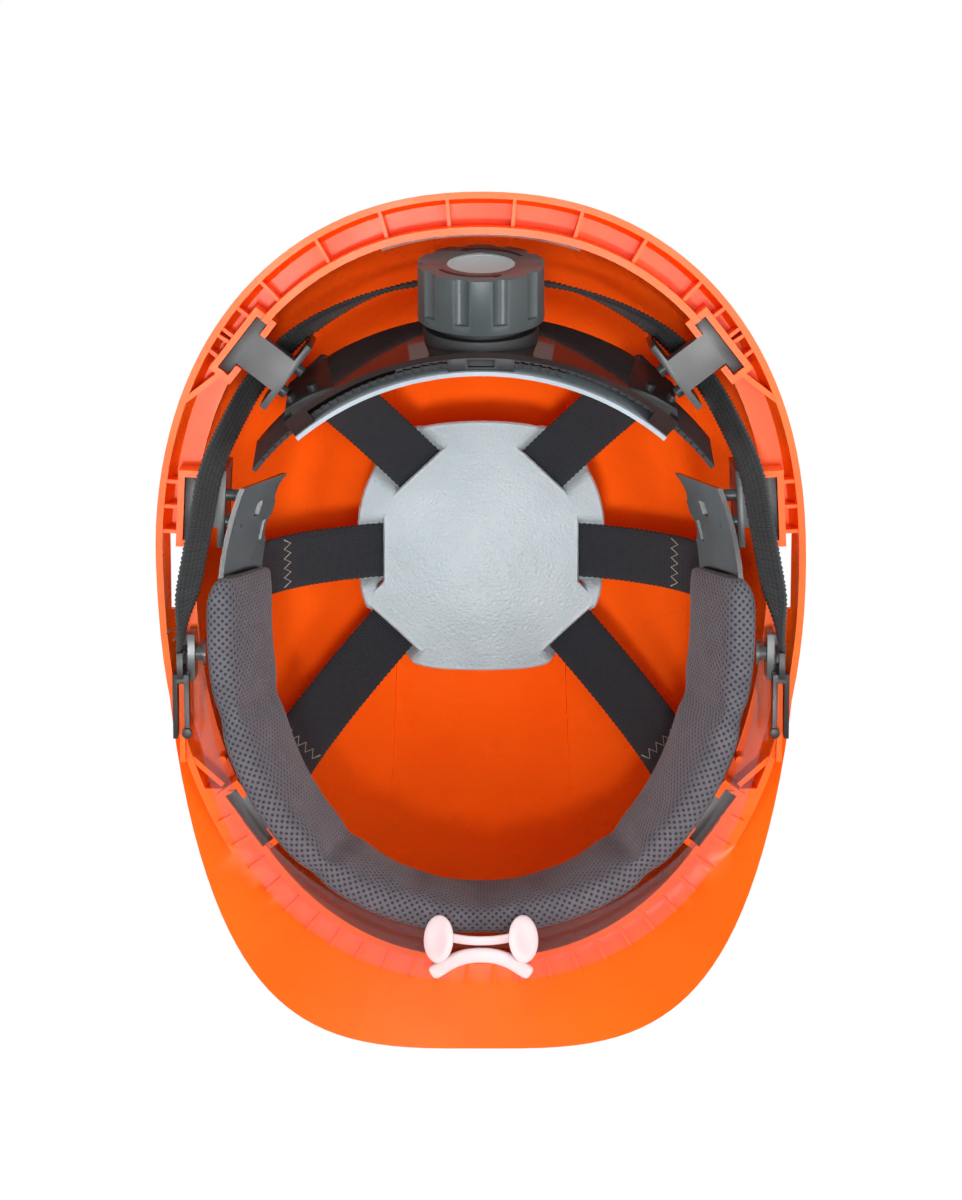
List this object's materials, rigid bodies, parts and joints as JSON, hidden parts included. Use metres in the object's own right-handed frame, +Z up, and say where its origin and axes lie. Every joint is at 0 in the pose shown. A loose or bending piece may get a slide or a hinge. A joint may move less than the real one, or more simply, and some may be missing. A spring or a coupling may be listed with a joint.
{
  "type": "forestry helmet",
  "caption": "Moulded forestry helmet with peak, webbing cradle, ratchet headband, swing-down clear visor with nose bridge, and stowed chin strap on hooks.",
  "frame": {"origin": "on the plane of the shell's rim, in the middle of the helmet's width and 20 mm in front of the shell's widest line: the middle of the head's opening", "axes": "+Z up as worn, -Y to the front where the peak is, +X to the wearer's left"},
  "size_m": [0.2194, 0.2923, 0.1764],
  "materials": {
    "shell_orange": "moulded ABS, satin gloss",
    "label_white": "paper label, blank",
    "pad_leather": "grained synthetic leather",
    "band_plastic": "moulded polyethylene",
    "sweatband_mesh": "knitted spacer mesh",
    "nape_gloss": "polished moulded nylon",
    "lining_plastic": "moulded polyethylene",
    "rack_plastic": "moulded nylon strip",
    "ratchet_black": "moulded nylon",
    "spindle_plastic": "moulded acetal",
    "screw_steel": "zinc plated steel",
    "knob_plastic": "moulded polypropylene, fine matt",
    "knob_cap_plastic": "moulded polypropylene",
    "lens_clear": "polished polycarbonate",
    "nose_silicone": "moulded silicone",
    "carrier_plastic": "moulded nylon, smoky",
    "chin_webbing": "ribbed elastic webbing",
    "hook_plastic": "moulded nylon",
    "hanger_plastic": "moulded polyethylene",
    "crown_webbing": "woven polyester webbing"
  },
  "bodies": {
    "root": {"shell": "shell_orange", "inner_label": "label_white", "hanger_rear_left": "hanger_plastic", "hanger_rear_right": "hanger_plastic", "hanger_side_left": "hanger_plastic", "hanger_side_right": "hanger_plastic", "hanger_front_left": "hanger_plastic", "hanger_front_right": "hanger_plastic", "webbing_side": "crown_webbing", "webbing_diagonal_a": "crown_webbing", "webbing_diagonal_b": "crown_webbing", "crown_pad": "pad_leather", "headband": "band_plastic", "sweatband": "sweatband_mesh", "nape_band_cover": "nape_gloss", "nape_band_lining": "lining_plastic", "ratchet_housing": "ratchet_black", "latch_block": "ratchet_black", "click_ring": "ratchet_black", "visor_carrier_left": "carrier_plastic", "visor_carrier_right": "carrier_plastic", "visor_pin_left": "carrier_plastic", "visor_pin_right": "carrier_plastic", "chin_strap_left": "chin_webbing", "chin_strap_right": "chin_webbing", "chin_strap_slider": "hook_plastic"},
    "rack_left": {"rack_left": "rack_plastic"},
    "rack_right": {"rack_right": "rack_plastic"},
    "spindle": {"ratchet_spindle": "spindle_plastic", "spindle_screw": "screw_steel", "pawl_star": "spindle_plastic"},
    "knob": {"knob": "knob_plastic", "knob_cap": "knob_cap_plastic"},
    "visor": {"visor_lens": "lens_clear", "nose_bridge": "nose_silicone"},
    "chin_hook_left": {"chin_hook_left": "hook_plastic"},
    "chin_hook_right": {"chin_hook_right": "hook_plastic"}
  },
  "joints": [
    {"name": "visor_swing", "type": "hinge", "parent": "root", "child": "visor", "pos_m": [0, -0.012, 0.006], "axis": [1, 0, 0], "range_deg": [0, 36]},
    {"name": "knob_turn", "type": "hinge", "parent": "root", "child": "spindle", "pos_m": [0, 0.099, -0.01], "axis": [0, 0.9781, -0.2079], "range_deg": [-115, 115]},
    {"name": "knob_lock", "type": "slide", "parent": "spindle", "child": "knob", "axis": [0, 0.9781, -0.2079], "range_m": [-0.0025, 0]},
    {"name": "rack_left_slide", "type": "hinge", "parent": "root", "child": "rack_left", "pos_m": [0, 0.00216, 0.01058], "axis": [0, 0.2079, 0.9781], "range_deg": [-7.4, 7.4]},
    {"name": "rack_right_slide", "type": "hinge", "parent": "root", "child": "rack_right", "pos_m": [0, 0.00216, 0.01058], "axis": [0, 0.2079, 0.9781], "range_deg": [-7.4, 7.4]},
    {"name": "hook_left_release", "type": "slide", "parent": "root", "child": "chin_hook_left", "axis": [0, 0, -1], "range_m": [0, 0.008]},
    {"name": "hook_right_release", "type": "slide", "parent": "root", "child": "chin_hook_right", "axis": [0, 0, -1], "range_m": [0, 0.008]}
  ],
  "couplings": [
    {"joint": "rack_left_slide", "follows": "knob_turn", "ratio": -0.063796},
    {"joint": "rack_right_slide", "follows": "knob_turn", "ratio": 0.0625}
  ]
}
